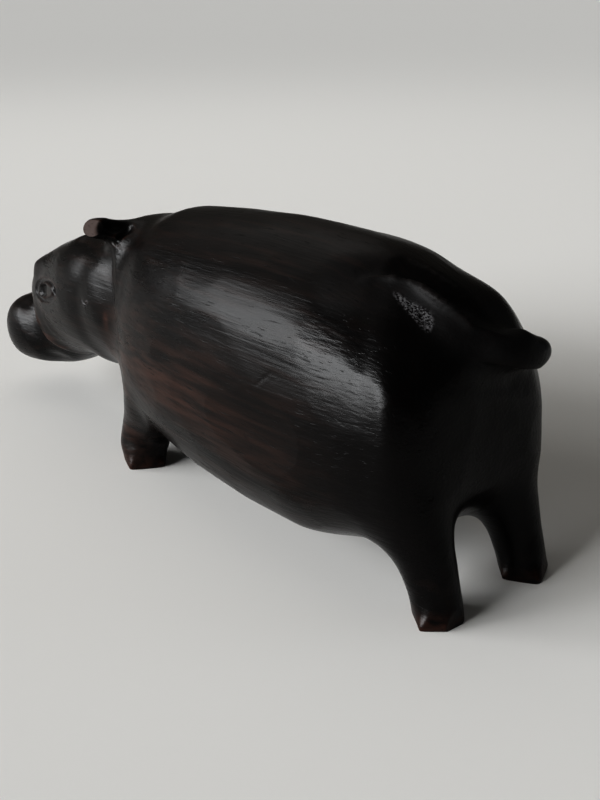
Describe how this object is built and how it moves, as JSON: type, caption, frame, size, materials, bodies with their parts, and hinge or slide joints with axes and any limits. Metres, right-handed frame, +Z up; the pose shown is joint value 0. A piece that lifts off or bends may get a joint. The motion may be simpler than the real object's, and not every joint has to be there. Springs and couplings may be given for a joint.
{
  "type": "carved hippopotamus figurine",
  "caption": "Solid hand-carved dark hardwood hippopotamus standing on short flat-soled legs, head low and tail curled over its rump; a shelf ornament.",
  "frame": {"origin": "on the surface it stands on, under the middle of the carving's bounding box", "axes": "-Y towards the nose, +Y towards the tail, +X the animal's left side, +Z up"},
  "size_m": [0.048, 0.1674, 0.062],
  "materials": {
    "dark_hardwood": "satin waxed"
  },
  "bodies": {
    "root": {"hippo_carving": "dark_hardwood"}
  },
  "joints": []
}
